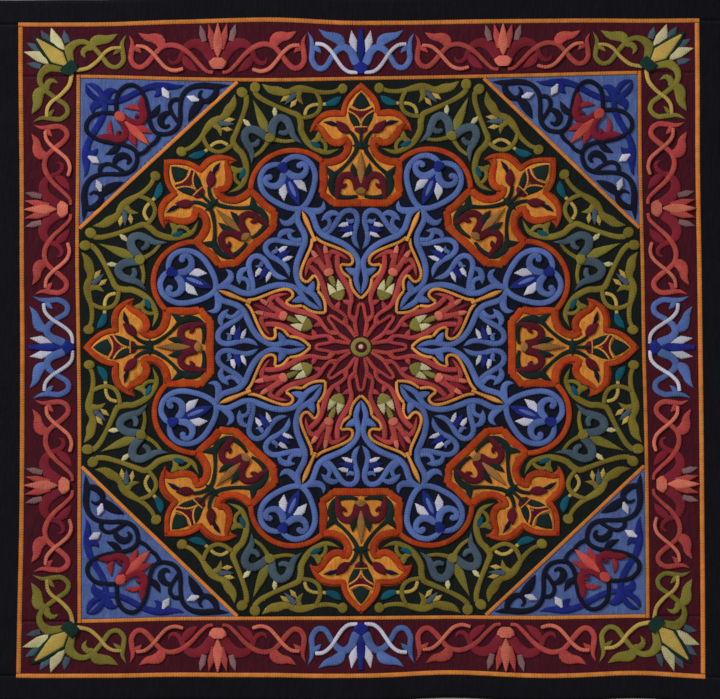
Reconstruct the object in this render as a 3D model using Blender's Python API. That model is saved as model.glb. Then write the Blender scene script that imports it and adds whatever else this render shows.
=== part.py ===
"""A large square appliqued quilt, lying face up: black border, orange strips over the seams, a wine
red band, four blue corner panels, a dark eight-sided field, and on it the lobed medallion and the
eight-armed centre star.

Metres, +Z up. X runs across the quilt and Y towards its top edge. The origin is at the middle of
the underside. Every place on the flat pattern goes through sewn(), which gives the cloth its
uneven seams, and lift(), which gives the border its soft ripples.
"""
import math

import bmesh
import bpy
from mathutils import Matrix, Vector

# Driving dimensions of the flat pattern, as distances from the middle of the quilt
QUILT_HALF = 0.896
OUTER_SEAM = 0.838
INNER_SEAM = 0.695
DIAGONAL_SEAM = 0.703
OUTER_STRIP_WIDTH = 0.012
INNER_STRIP_WIDTH = 0.010

# Thickness of the cloths, and the space that is left between two pieces
PANEL_THICKNESS = 0.0018
APPLIQUE_THICKNESS = 0.0007
GAP = 0.0005

# The stations along a side where a seam or an edge has a point. The outer strip's inner edge and
# the line where the ripples begin both lie on a station.
STATIONS_PER_HALF = 14
STATION = QUILT_HALF / STATIONS_PER_HALF

# How far each seam wanders from its straight line, in millimetres, at nine places 225 mm apart.
# Top and bottom seams wander along Y and run from left to right. Left and right seams wander
# along X and run from bottom to top.
WANDER_SPACING = 0.225
SEAM_WANDER = {
    "top": {"outer": (-9, -9, -2, 4, -5, -2, 1, 1, 1), "inner": (0, 1, -5, -8, -4, 0, 5, 11, 11)},
    "bottom": {"outer": (-1, -2, 1, 0, -2, 7, -2, 5, -7), "inner": (-6, -5, 1, 2, 3, 5, 4, 8, 8)},
    "left": {"outer": (-4, -1, 3, 4, 4, 2, 1, -2, -3), "inner": (3, 3, 2, 2, -1, -5, -4, -3, -3)},
    "right": {"outer": (2, 2, 1, 0, -2, -4, -7, -7, -8), "inner": (11, 10, 9, 7, 2, -1, -6, -7, -7)},
}

# Ripples of the border: height at the edge, reach inwards, and for each side the length of a
# ripple and where it starts
RIPPLE_HEIGHT = 0.005
RIPPLE_REACH = 2 * STATION
RIPPLES = {
    "top": {"length": 0.262, "start": 0.4},
    "bottom": {"length": 0.224, "start": 2.1},
    "left": {"length": 0.291, "start": 3.3},
    "right": {"length": 0.247, "start": 5.0},
}

# Outline of the medallion between the axis of a cartouche and the axis of a lobe, 22.5 degrees
# on. "across" is the distance from the cartouche axis, "out" the distance along it, both in
# millimetres. A corner is a point where the cut turns sharply.
MEDALLION_EDGE = (
    {"across": 0, "out": 684, "corner": True},
    {"across": 19, "out": 667, "corner": False},
    {"across": 38, "out": 642, "corner": False},
    {"across": 49, "out": 612, "corner": True},
    {"across": 72, "out": 614, "corner": False},
    {"across": 98, "out": 606, "corner": False},
    {"across": 116, "out": 586, "corner": False},
    {"across": 127, "out": 558, "corner": True},
    {"across": 107, "out": 561, "corner": False},
    {"across": 92, "out": 546, "corner": False},
    {"across": 80, "out": 528, "corner": False},
    {"across": 62, "out": 521, "corner": False},
    {"across": 45, "out": 523, "corner": True},
    {"across": 42, "out": 511, "corner": False},
    {"across": 54, "out": 496, "corner": False},
    {"across": 75, "out": 488, "corner": False},
)
LOBE_DISTANCE = 0.440
LOBE_RADIUS = 0.110
LOBE_POINTS = 9

# Outline of the centre star between the same two axes, from the valley past the broad end of an
# arm to the tip of the lance on it
STAR_EDGE = (
    {"across": 0, "out": 122, "corner": True},
    {"across": 17, "out": 142, "corner": False},
    {"across": 27, "out": 168, "corner": True},
    {"across": 40, "out": 183, "corner": False},
    {"across": 49, "out": 202, "corner": False},
    {"across": 38, "out": 210, "corner": False},
    {"across": 23, "out": 215, "corner": False},
    {"across": 27, "out": 234, "corner": False},
    {"across": 50, "out": 256, "corner": False},
    {"across": 80, "out": 268, "corner": False},
    {"across": 111, "out": 280, "corner": True},
    {"across": 114, "out": 296, "corner": False},
    {"across": 124, "out": 322, "corner": False},
    {"across": 147, "out": 355, "corner": True},
)
STEPS_PER_CURVE = 2
SECTORS = 8

MILLIMETRE = 0.001
COLLECTION = "applique_quilt"


def curve_through(before, start, end, after, share):
    """A smooth curve between start and end, at that share of the way."""
    return 0.5 * (
        2 * start
        + (end - before) * share
        + (2 * before - 5 * start + 4 * end - after) * share**2
        + (3 * start - before - 3 * end + after) * share**3
    )


def wander(side, seam, along):
    """How far that seam lies off its straight line at that place along it, in metres."""
    row = SEAM_WANDER[side][seam]
    last = len(row) - 1
    place = min(max(along / WANDER_SPACING + last / 2, 0.0), last - 1e-9)
    first = int(place)
    before, after = row[max(first - 1, 0)], row[min(first + 2, last)]
    return MILLIMETRE * curve_through(before, row[first], row[first + 1], after, place - first)


def side_shift(low_side, high_side, across, along):
    """The shift of a place towards the seams of its own side."""
    side = high_side if across > 0 else low_side
    distance = abs(across)
    inner = wander(side, "inner", along)
    if distance <= INNER_SEAM:
        return inner * (distance / INNER_SEAM) ** 2
    share = min((distance - INNER_SEAM) / (OUTER_SEAM - INNER_SEAM), 1.0)
    return inner + (wander(side, "outer", along) - inner) * share


def unevenly_sewn(x, y):
    """Where a place of the straight pattern ends up in the sewn cloth."""
    return x + side_shift("left", "right", x, y), y + side_shift("bottom", "top", y, x)


def outline_centre():
    """The middle of the sewn quilt's outline, which the origin is moved to."""
    corners = []
    for step in range(-STATIONS_PER_HALF, STATIONS_PER_HALF + 1):
        along = step * STATION
        for edge in (-QUILT_HALF, QUILT_HALF):
            corners += [unevenly_sewn(along, edge), unevenly_sewn(edge, along)]
    xs, ys = [x for x, _ in corners], [y for _, y in corners]
    return (min(xs) + max(xs)) / 2, (min(ys) + max(ys)) / 2


CENTRE_X, CENTRE_Y = outline_centre()


def sewn(x, y):
    """A place of the pattern in the part's own frame."""
    sewn_x, sewn_y = unevenly_sewn(x, y)
    return sewn_x - CENTRE_X, sewn_y - CENTRE_Y


def edge_share(distance):
    """0 where the quilt lies flat, rising smoothly to 1 at its edge."""
    share = min(max((distance - QUILT_HALF + RIPPLE_REACH) / RIPPLE_REACH, 0.0), 1.0)
    return share * share * (3 - 2 * share)


def ripple(side, along):
    """0 to 1 along a side: uneven soft waves."""
    turn = 2 * math.pi * along / RIPPLES[side]["length"] + RIPPLES[side]["start"]
    return (0.5 + 0.5 * math.sin(turn)) * (0.7 + 0.3 * math.sin(0.37 * turn + 1.0))


def lift(x, y):
    """Height of the underside over the surface that the quilt lies on."""
    x_side = "right" if x > 0 else "left"
    y_side = "top" if y > 0 else "bottom"
    x_share, y_share = edge_share(abs(x)), edge_share(abs(y))
    waves = x_share * ripple(x_side, y) + y_share * ripple(y_side, x)
    return RIPPLE_HEIGHT * waves * (1 - 0.5 * x_share * y_share)


def clear_scene():
    for obj in list(bpy.data.objects):
        bpy.data.objects.remove(obj, do_unlink=True)


def cloth(name, colour, roughness=0.85):
    """A plain cotton of that colour."""
    material = bpy.data.materials.new(name)
    material.use_nodes = True
    shader = material.node_tree.nodes["Principled BSDF"]
    shader.inputs["Base Color"].default_value = (*colour, 1.0)
    shader.inputs["Roughness"].default_value = roughness
    shader.inputs["Metallic"].default_value = 0.0
    return material


def add_object(name, data, material, collection):
    data.materials.append(material)
    obj = bpy.data.objects.new(name, data)
    collection.objects.link(obj)
    return obj


def stations_between(low, high):
    """The shared stations that lie inside a stretch."""
    first, last = math.ceil(low / STATION), math.floor(high / STATION)
    return [k * STATION for k in range(first, last + 1) if low + GAP < k * STATION < high - GAP]


def cuts_between(low, high):
    """The places where a rippled cloth is creased inside a stretch: the stations, and the outer
    edges of the outer strips."""
    strip_edge = OUTER_SEAM + OUTER_STRIP_WIDTH / 2
    return stations_between(low, high) + [edge for edge in (-strip_edge, strip_edge) if low < edge < high]


def rippled_panel(name, x_span, y_span, level, thickness, material, collection):
    """A length of cloth near the edge, cut into cells that all such cloths share, which then
    follows the ripples and gets its thickness straight up."""
    mesh = bmesh.new()
    bmesh.ops.create_grid(mesh, x_segments=1, y_segments=1, size=0.5)
    size = (x_span[1] - x_span[0], y_span[1] - y_span[0])
    middle = Vector(((x_span[0] + x_span[1]) / 2, (y_span[0] + y_span[1]) / 2, 0.0))
    bmesh.ops.transform(mesh, matrix=Matrix.Diagonal((*size, 1.0, 1.0)), verts=mesh.verts)
    bmesh.ops.translate(mesh, vec=middle, verts=mesh.verts)
    for span, normal in ((x_span, Vector((1.0, 0.0, 0.0))), (y_span, Vector((0.0, 1.0, 0.0)))):
        for cut in cuts_between(*span):
            everything = mesh.verts[:] + mesh.edges[:] + mesh.faces[:]
            bmesh.ops.bisect_plane(mesh, geom=everything, dist=1e-6, plane_co=normal * cut, plane_no=normal)
    for vert in mesh.verts:
        x, y = vert.co.x, vert.co.y
        vert.co = (*sewn(x, y), level + lift(x, y))
    raised = bmesh.ops.extrude_face_region(mesh, geom=mesh.faces[:])["geom"]
    top = [part for part in raised if isinstance(part, bmesh.types.BMVert)]
    bmesh.ops.translate(mesh, vec=(0.0, 0.0, thickness), verts=top)
    bmesh.ops.recalc_face_normals(mesh, faces=mesh.faces)
    data = bpy.data.meshes.new(name)
    mesh.to_mesh(data)
    mesh.free()
    return add_object(name, data, material, collection)


def flat_piece(name, outline, level, thickness, material, collection):
    """A piece of cloth cut to an outline, a closed list of places on the pattern, lying flat."""
    curve = bpy.data.curves.new(name, "CURVE")
    curve.dimensions = "2D"
    curve.fill_mode = "BOTH"
    curve.extrude = thickness / 2
    spline = curve.splines.new("POLY")
    spline.points.add(len(outline) - 1)
    for point, (x, y) in zip(spline.points, outline):
        point.co = (*sewn(x, y), 0.0, 1.0)
    spline.use_cyclic_u = True
    obj = add_object(name, curve, material, collection)
    obj.location.z = level + thickness / 2
    return obj


def seam_line(start, end):
    """Places from start up to end, at the shared stations of a side or evenly on a slant."""
    (x0, y0), (x1, y1) = start, end
    if abs(x1 - x0) < GAP:
        inside = [(x0, y) for y in stations_between(*sorted((y0, y1)))]
    elif abs(y1 - y0) < GAP:
        inside = [(x, y0) for x in stations_between(*sorted((x0, x1)))]
    else:
        count = max(round(math.dist(start, end) / STATION), 1)
        inside = [(x0 + (x1 - x0) * k / count, y0 + (y1 - y0) * k / count) for k in range(1, count)]
    inside.sort(key=lambda place: math.dist(place, start))
    return [start] + inside


def polygon(corners):
    """The outline of a straight-sided piece, with a point at each station of its sides."""
    places = []
    for start, end in zip(corners, corners[1:] + corners[:1]):
        places += seam_line(start, end)
    return places


def quarter_turns(places, turns):
    """The same places, a number of quarter turns on."""
    for _ in range(turns):
        places = [(-y, x) for x, y in places]
    return places


def smooth_edge(rows):
    """The places of half a sector along a table of outline points."""
    places = []
    points = [Vector((row["across"], row["out"])) * MILLIMETRE for row in rows]
    for index in range(len(points) - 1):
        start, end = points[index], points[index + 1]
        before = points[index - 1] if index and not rows[index]["corner"] else 2 * start - end
        last = index + 2 == len(points) or rows[index + 1]["corner"]
        after = 2 * end - start if last else points[index + 2]
        for step in range(STEPS_PER_CURVE):
            place = curve_through(before, start, end, after, step / STEPS_PER_CURVE)
            places.append((place.x, place.y))
    return places + [tuple(points[-1])]


def lobe_arc(start):
    """The round end of a lobe, from the place start to the axis of the lobe."""
    half_sector = math.pi / SECTORS
    centre = Vector((math.sin(half_sector), math.cos(half_sector))) * LOBE_DISTANCE
    first = math.atan2(start[1] - centre.y, start[0] - centre.x)
    last = math.pi / 2 - half_sector
    turns = [first + (last - first) * k / LOBE_POINTS for k in range(1, LOBE_POINTS + 1)]
    return [(centre.x + LOBE_RADIUS * math.cos(t), centre.y + LOBE_RADIUS * math.sin(t)) for t in turns]


def whole_rosette(half_sector_edge):
    """The closed outline of eight sectors, each mirrored on its own axis, going clockwise."""
    mirrored = [(-x, y) for x, y in reversed(half_sector_edge[1:])]
    sector = mirrored[1:] + half_sector_edge
    places = []
    for index in range(SECTORS):
        turn = -2 * math.pi * index / SECTORS
        cos, sin = math.cos(turn), math.sin(turn)
        places += [(x * cos - y * sin, x * sin + y * cos) for x, y in sector]
    return places


def make_frame_of_lengths(prefix, near, far, level, thickness, material, collection):
    """Four lengths round the quilt, between two distances from its middle: top and bottom reach
    from side to side, left and right fit between them."""
    full, between = (-far, far), (-near + GAP, near - GAP)
    pieces = {
        "top": (full, (near, far)),
        "bottom": (full, (-far, -near)),
        "left": ((-far, -near), between),
        "right": ((near, far), between),
    }
    for side, (x_span, y_span) in pieces.items():
        rippled_panel(f"{prefix}_{side}", x_span, y_span, level, thickness, material, collection)


def make_flat_strips(prefix, seam, width, level, material, collection):
    """Four strips over a flat seam, the top and bottom ones between the two upright ones."""
    low, high = seam - width / 2, seam + width / 2
    upright = polygon([(low, -high), (high, -high), (high, high), (low, high)])
    level_strip = polygon([(-low + GAP, low), (low - GAP, low), (low - GAP, high), (-low + GAP, high)])
    pieces = {
        "right": upright,
        "left": quarter_turns(upright, 2),
        "top": level_strip,
        "bottom": quarter_turns(level_strip, 2),
    }
    for side, outline in pieces.items():
        flat_piece(f"{prefix}_{side}", outline, level, APPLIQUE_THICKNESS, material, collection)


def make_field(material, collection):
    """The eight-sided field inside the inner seam."""
    side = INNER_SEAM - GAP / 2
    cut = DIAGONAL_SEAM * math.sqrt(2) - GAP / 2
    corner = [(cut - side, side), (side, cut - side)]
    corners = []
    for turns in range(4):
        corners += quarter_turns(corner, 4 - turns)
    flat_piece("field", polygon(corners), 0.0, PANEL_THICKNESS, material, collection)


def make_corners(panel_material, strip_material, level, collection):
    """The four blue corner panels, and the slanting strips over their seams with the field."""
    side = INNER_SEAM - GAP / 2
    cut = DIAGONAL_SEAM * math.sqrt(2) + GAP / 2
    panel = polygon([(cut - side, side), (side, side), (side, cut - side)])
    edge = INNER_SEAM - INNER_STRIP_WIDTH / 2 - GAP
    low = (DIAGONAL_SEAM - INNER_STRIP_WIDTH / 2) * math.sqrt(2)
    high = (DIAGONAL_SEAM + INNER_STRIP_WIDTH / 2) * math.sqrt(2)
    strip = polygon([(low - edge, edge), (high - edge, edge), (edge, high - edge), (edge, low - edge)])
    for turns, name in enumerate(("top_right", "top_left", "bottom_left", "bottom_right")):
        outline = quarter_turns(panel, turns)
        flat_piece(f"corner_panel_{name}", outline, 0.0, PANEL_THICKNESS, panel_material, collection)
        outline = quarter_turns(strip, turns)
        flat_piece(f"corner_strip_{name}", outline, level, APPLIQUE_THICKNESS, strip_material, collection)


def make_medallion(material, star_material, level, collection):
    """The lobed medallion sewn on the field, and the star sewn on the medallion."""
    edge = smooth_edge(MEDALLION_EDGE)
    edge += lobe_arc(edge[-1])
    flat_piece("medallion", whole_rosette(edge), level, APPLIQUE_THICKNESS, material, collection)
    star_level = level + APPLIQUE_THICKNESS + GAP
    outline = whole_rosette(smooth_edge(STAR_EDGE))
    flat_piece("centre_star", outline, star_level, APPLIQUE_THICKNESS, star_material, collection)


def main():
    clear_scene()
    collection = bpy.data.collections.new(COLLECTION)
    bpy.context.scene.collection.children.link(collection)
    black = cloth("black_cotton", (0.008, 0.008, 0.012))
    orange = cloth("orange_cotton", (0.47, 0.17, 0.035))
    wine = cloth("wine_cotton", (0.055, 0.009, 0.014))
    blue = cloth("blue_cotton", (0.085, 0.130, 0.34))
    dark_green = cloth("dark_green_cotton", (0.010, 0.016, 0.013))
    red_orange = cloth("red_orange_cotton", (0.34, 0.055, 0.012))
    star_wine = cloth("star_cotton", (0.075, 0.014, 0.022))

    on_top = PANEL_THICKNESS + GAP
    border_start, band_start, band_end = OUTER_SEAM + GAP / 2, INNER_SEAM + GAP / 2, OUTER_SEAM - GAP / 2
    strip_start, strip_end = OUTER_SEAM - OUTER_STRIP_WIDTH / 2, OUTER_SEAM + OUTER_STRIP_WIDTH / 2
    make_frame_of_lengths("border", border_start, QUILT_HALF, 0.0, PANEL_THICKNESS, black, collection)
    make_frame_of_lengths("band", band_start, band_end, 0.0, PANEL_THICKNESS, wine, collection)
    make_frame_of_lengths("outer_strip", strip_start, strip_end, on_top, APPLIQUE_THICKNESS, orange, collection)
    make_flat_strips("inner_strip", INNER_SEAM, INNER_STRIP_WIDTH, on_top, orange, collection)
    make_field(dark_green, collection)
    make_corners(blue, orange, on_top, collection)
    make_medallion(red_orange, star_wine, on_top, collection)


main()
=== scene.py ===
"""The looks of a large square appliqued quilt, lying face up on a pale floor: a black border, a
wine red band with interlaced vines, four blue corner panels with scrolls, a dark eight-sided field
with olive vines, and the lobed medallion with its eight-armed centre star.

The pattern is charted in millimetres from the middle of the quilt, +Y towards its top edge. Each
applique is a strip or leaf of cotton that follows a route, with its turned edges hemmed down. All
of it goes through laid(), which puts a place of the straight pattern on the uneven, rippled cloth.
The sizes, dyes and charts come first, then the cloth's shape and its cotton, the strips and the cut
cloths, and last the pieces, the floor, the lights and the camera.
"""
import math
import random
from collections import namedtuple

import bmesh
import bpy
from mathutils import Matrix, Vector, noise


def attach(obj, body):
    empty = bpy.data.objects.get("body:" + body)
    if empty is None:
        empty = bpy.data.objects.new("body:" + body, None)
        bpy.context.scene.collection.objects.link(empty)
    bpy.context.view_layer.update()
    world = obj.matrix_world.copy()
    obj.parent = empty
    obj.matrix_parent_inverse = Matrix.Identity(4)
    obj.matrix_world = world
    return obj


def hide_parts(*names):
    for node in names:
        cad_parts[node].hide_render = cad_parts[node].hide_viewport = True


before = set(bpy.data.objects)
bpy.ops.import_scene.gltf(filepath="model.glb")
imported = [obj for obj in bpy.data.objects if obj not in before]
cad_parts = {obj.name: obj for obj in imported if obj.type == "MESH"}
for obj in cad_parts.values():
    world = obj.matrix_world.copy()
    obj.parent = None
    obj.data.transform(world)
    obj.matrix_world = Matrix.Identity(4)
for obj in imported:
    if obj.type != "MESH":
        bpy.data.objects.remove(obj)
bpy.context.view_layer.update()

MILLIMETRE = 0.001

# Distances from the middle of the quilt to its edge and seams, and the widths of the strips
QUILT_HALF = 0.896
OUTER_SEAM = 0.838
INNER_SEAM = 0.695
DIAGONAL_SEAM = 0.703
OUTER_STRIP_WIDTH = 0.012
INNER_STRIP_WIDTH = 0.010
PANEL_THICKNESS = 0.0018
GAP = 0.0005

# How far the soft edge of the border spreads past the straight cut
EDGE_SPREAD = 0.006

# Stations along a side, from its middle to its end, where the quilt's outline is measured
STATIONS_PER_HALF = 14
STATION = QUILT_HALF / STATIONS_PER_HALF

# How far each seam wanders from its straight line, in millimetres, at nine places 225 mm apart
WANDER_SPACING = 0.225
SEAM_WANDER = {
    "top": {"outer": (-9, -9, -2, 4, -5, -2, 1, 1, 1), "inner": (0, 1, -5, -8, -4, 0, 5, 11, 11)},
    "bottom": {"outer": (-1, -2, 1, 0, -2, 7, -2, 5, -7), "inner": (-6, -5, 1, 2, 3, 5, 4, 8, 8)},
    "left": {"outer": (-4, -1, 3, 4, 4, 2, 1, -2, -3), "inner": (3, 3, 2, 2, -1, -5, -4, -3, -3)},
    "right": {"outer": (2, 2, 1, 0, -2, -4, -7, -7, -8), "inner": (11, 10, 9, 7, 2, -1, -6, -7, -7)},
}

# Ripples of the border: height at the edge, reach inwards, how much their height varies along a
# side and how slowly, and for each side the length of a ripple and where it starts
RIPPLE_HEIGHT = 0.005
RIPPLE_REACH = 2 * STATION
RIPPLE_VARIATION = 0.3
RIPPLE_SLOWNESS = 0.37
RIPPLES = {
    "top": {"length": 0.262, "start": 0.4},
    "bottom": {"length": 0.224, "start": 2.1},
    "left": {"length": 0.291, "start": 3.3},
    "right": {"length": 0.247, "start": 5.0},
}

# Swellings of the upper face between the rows of stitches, and the finer ones laid over them
SWELL_HEIGHT = 0.0007
SWELL_SIZE = 0.022
FINE_SWELL_SHARE = 0.3
FINE_SWELL_SIZE = 0.4 * SWELL_SIZE
FINE_SWELL_START = 0.7

# The layers, as heights of their upper faces over the underside of the quilt
FIELD_TOP = PANEL_THICKNESS
MEDALLION_UNDERSIDE = FIELD_TOP + 0.0002
MEDALLION_TOP = 0.0026
NAVY_TOP = 0.0031
STAR_TOP = 0.0038

# Cells of the ground cloths and of the cloths cut along a curve, and how near two points are one
CELL = 0.010
CUT_CELL = 0.016
MERGE_DISTANCE = 1e-6

# The middle of the band, the corner that a corner panel is charted from, and the place along a
# side, in millimetres, on which the rose knot is mirrored
BAND_MIDDLE = 0.766
SPANDREL_START = 0.690
ROSE_LOTUS_AT = 353

# The dyes, as display levels of red, green and blue
DYES = {
    "black": (15, 14, 20),
    "orange": (198, 120, 54),
    "burgundy": (67, 17, 29),
    "green_black": (19, 25, 23),
    "corner_blue": (78, 98, 152),
    "flame": (164, 60, 22),
    "navy_ground": (17, 20, 34),
    "gold_ground": (208, 132, 52),
    "star_wine": (70, 19, 32),
    "gold": (216, 142, 64),
    "forest": (21, 38, 34),
    "forest_light": (20, 46, 40),
    "wine": (84, 20, 33),
    "navy": (18, 20, 44),
    "brown": (142, 100, 52),
    "sky": (82, 103, 160),
    "sky_deep": (79, 102, 158),
    "royal": (27, 37, 114),
    "lilac": (190, 188, 202),
    "olive": (118, 104, 39),
    "olive_light": (118, 110, 44),
    "moss": (124, 114, 54),
    "straw": (178, 150, 74),
    "cream": (190, 182, 136),
    "teal": (16, 78, 94),
    "slate": (68, 84, 97),
    "rose": (164, 62, 60),
    "rose_light": (166, 66, 61),
    "rose_dark": (118, 32, 44),
    "salmon": (198, 104, 84),
    "mauve": (124, 90, 92),
    "maroon": (112, 25, 39),
    "crimson": (152, 44, 51),
    "coral": (186, 76, 64),
    "ink": (18, 20, 37),
}

# The weave of the threads
WEAVE_SCALE = 260.0
WEAVE_DISTORTION = 0.6

# The puckers that the hem stitches pull across a strip, in metres: how far apart, how far in from
# the edge they are deep, and how uneven. Then how deep they are further in, how much they slant,
# and the levels of the stitches' wave at which one starts and is full
PUCKER_PITCH = 0.0066
PUCKER_REACH = 0.0060
PUCKER_DRIFT = 0.0050
PUCKER_INNER_DEPTH = 0.35
PUCKER_SLANT = 0.25
PUCKER_RISE = (0.2, 1.0)

# Painted shade along a strip's turned edge: how far in from the edge it reaches, and where it is darkest
HEM_SHADOW_REACH = 0.0015
HEM_SHADOW_FULL = 0.0003

# Uneven patches: their scale, how finely they are broken up and how rough they are
Patches = namedtuple("Patches", "scale detail roughness", defaults=(0.5,))
DYE_PATCHES = Patches(22.0, 4.0)
FLECKS = Patches(260.0, 2.0)
HUE_PATCHES = Patches(60.0, 3.0, 0.6)
CREASES = Patches(95.0, 3.0, 0.55)
GROUND_FOLDS = Patches(40.0, 2.0)
PUCKER_SHIFTS = Patches(70.0, 1.0)
PUCKER_DEPTHS = Patches(38.0, 1.0)

# The levels of the patches at which a fold or a pucker starts and is full, and how the folds of a
# ground are drawn out upright
GROUND_FOLD_RISE = (0.35, 0.68)
PUCKER_DEPTH_RISE = (0.25, 0.65)
GROUND_FOLD_STRETCH = (2.6, 0.7, 1.0)

# The shade of a cloth runs from 0 at its darkest to 1 at its lightest. It starts at the first or
# the second of these, and each of the rest is what one kind of unevenness adds. The puckers' and
# hems' darkening is painted shade, in the creases and along the turned edges, and the folds'
# lightening is a painted highlight on their ridges
STRIP_SHADE = 0.04
GROUND_SHADE = 0.05
PATCH_SHADE = 0.55
FLECK_SHADE = 0.45
WEAVE_SHADE = 0.12
TONE_SHADE = 0.3
# painted shade in the creases of the puckers, over their real relief
PUCKER_PAINTED_SHADE = -0.4
# painted shade along the turned edges of a strip
HEM_PAINTED_SHADE = -0.45
# painted highlight on the ridges of a ground's folds
FOLD_PAINTED_HIGHLIGHT = 0.14

# How dark and how light a dye gets in its shades, as shares of its light, and how far its hue
# drifts, as a share of the colour circle
DARKEST = 0.32
LIGHTEST = 1.5
HUE_DRIFT = 0.045

# Reliefs too fine for the mesh: how deep they are in metres, and how strongly they show
Relief = namedtuple("Relief", "depth strength")
WEAVE_RELIEF = Relief(0.00012, 0.6)
CREASE_RELIEF = Relief(0.0014, 0.8)
PUCKER_RELIEF = Relief(0.0008, 0.9)
FOLD_RELIEF = Relief(0.0011, 0.8)

# Matt cotton with a faint nap
COTTON_FINISH = {
    "Roughness": 0.9,
    "Specular IOR Level": 0.07,
    "Sheen Weight": 0.03,
    "Sheen Roughness": 0.6,
}

# The map of places along and in from the edge of a strip, and the tone that each copy has
STRIP_MAP = "along_strip"
TONE = "tone"

# A strip or leaf of applique. layer counts the layers of cloth under it, widths are spread evenly
# along it, route holds the places it passes, ends is how far its ends are rounded, as a share of
# its width, and kite says that its edges run straight from width to width. Widths and places are
# in millimetres.
# In the cartouche frame a place is the distance across from the axis and out along it. In the
# lobe frame the axis is that of a lobe. On a band it is the distance along the side from its
# middle and the distance outwards from the middle of the band. In a corner it is two distances
# from the middle of the quilt, or inwards from the corner of the blue panel.
Strip = namedtuple("Strip", "name dye layer widths route ends kite", defaults=(0.25, False))


def petal(name, dye, layer, widths, route):
    """A pointed petal with straight edges."""
    return Strip(name, dye, layer, widths, route, 0.0, True)


def disc(name, dye, layer, place, radius):
    """A round patch, as a strip whose two ends are half circles."""
    x, y = place
    route = ((x - radius, y), (x, y), (x + radius, y))
    return Strip(name, dye, layer, (2 * radius, 2 * radius), route, 0.5)


# The flame-red strips round a cartouche, in the cartouche frame
OUTLINE = (
    Strip("outline_tip", "flame", 0, (16, 13, 13, 13, 14),
          ((0, 675), (21, 656), (35, 637), (42, 617), (42, 603))),
    Strip("outline_wing", "flame", 0, (14, 14, 14, 14, 13, 9, 0),
          ((38, 603), (56, 603), (76, 603), (96, 596), (111, 582), (120, 568), (124, 553))),
    Strip("outline_wing_low", "flame", 0, (4, 13, 17, 18, 18, 17),
          ((112, 580), (98, 566), (88, 548), (72, 531), (53, 527), (38, 538))),
    Strip("outline_neck", "flame", 0, (15, 15, 16, 17, 18, 19),
          ((40, 541), (30, 526), (33, 506), (47, 488), (67, 479), (92, 476))),
    Strip("outline_body", "flame", 0, (17, 20, 20, 18), ((94, 479), (93, 447), (92, 422), (97, 396))),
    Strip("outline_shoulder", "flame", 0, (18, 18, 18), ((99, 397), (85, 387), (77, 381), (67, 369))),
    Strip("outline_base", "flame", 0, (20, 20, 20), ((71, 371), (36, 371), (-2, 372))),
)

# The flowers and leaves on a gold cartouche, in the cartouche frame
CARTOUCHE_FLOWERS = (
    petal("tip_arch", "forest", 0, (0, 21, 35, 45, 0), ((0, 660), (0, 648), (0, 636), (0, 624), (0, 612))),
    petal("tip_wine", "wine", 1, (26, 17, 3), ((-0.5, 597), (14, 607), (30, 616))),
    Strip("zigzag_upper", "gold", 2, (5, 5, 5), ((-0.5, 611), (13, 613), (28, 621))),
    Strip("zigzag_lower", "gold", 2, (5, 5, 5, 5), ((0, 576), (5, 588), (15, 600), (31, 610))),
    Strip("tip_leaf", "forest", 0, (0, 16, 18, 14), ((32, 608), (22, 596), (15, 583), (9, 567))),
    Strip("cup_rim", "gold", 2, (4, 4), ((-0.5, 568), (16, 568))),
    petal("cup", "wine", 1, (33, 30, 6), ((0, 567), (0, 559), (0, 549))),
    Strip("stem", "forest", 3, (8, 8, 8, 13), ((0, 566), (0, 545), (0, 530), (0, 514))),
    petal("stem_knot", "forest", 2, (0, 15, 15, 0), ((-23, 520), (-9, 519), (9, 519), (23, 520))),
    Strip("side_stem", "forest", 1, (8, 10, 11, 11, 9, 9, 11),
          ((28, 558), (17, 543), (11, 526), (12, 508), (25, 486), (43, 465), (62, 448))),
    Strip("side_bud", "wine", 2, (4, 20, 24, 16, 0),
          ((26, 555), (35, 559), (44, 566), (53, 575), (61, 586))),
    petal("side_bud_tip", "navy", 2, (5, 12, 0), ((56, 571), (70, 578), (94, 583))),
    Strip("leaf_spike", "forest", 1, (20, 18, 10, 0), ((66, 436), (73, 448), (81, 458), (88, 470))),
    Strip("bell", "forest", 1, (11, 18, 16, 15, 13, 10, 8),
          ((60, 452), (71, 434), (73, 412), (64, 395), (48, 387), (28, 386), (8, 389))),
    petal("brown_petal", "brown", 3, (0, 8, 17, 20, 10, 0),
          ((0, 506), (0, 482), (0, 460), (0, 443), (0, 428), (0, 412))),
    Strip("brown_cup", "brown", 4, (8, 24, 28, 12), ((0, 411), (0, 406), (0, 400), (0, 393))),
    petal("green_petal", "forest", 2, (0, 13, 17, 13), ((21, 476), (20, 463), (18, 449), (14, 434))),
    Strip("wine_scroll", "wine", 2, (20, 24, 20, 17, 17, 15, 8),
          ((7, 402), (11, 427), (25, 442), (43, 442), (54, 427), (57, 404), (60, 382))),
    Strip("wine_curl", "wine", 2, (12, 14, 12, 4), ((57, 428), (52, 417), (43, 415), (36, 422))),
)

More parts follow.
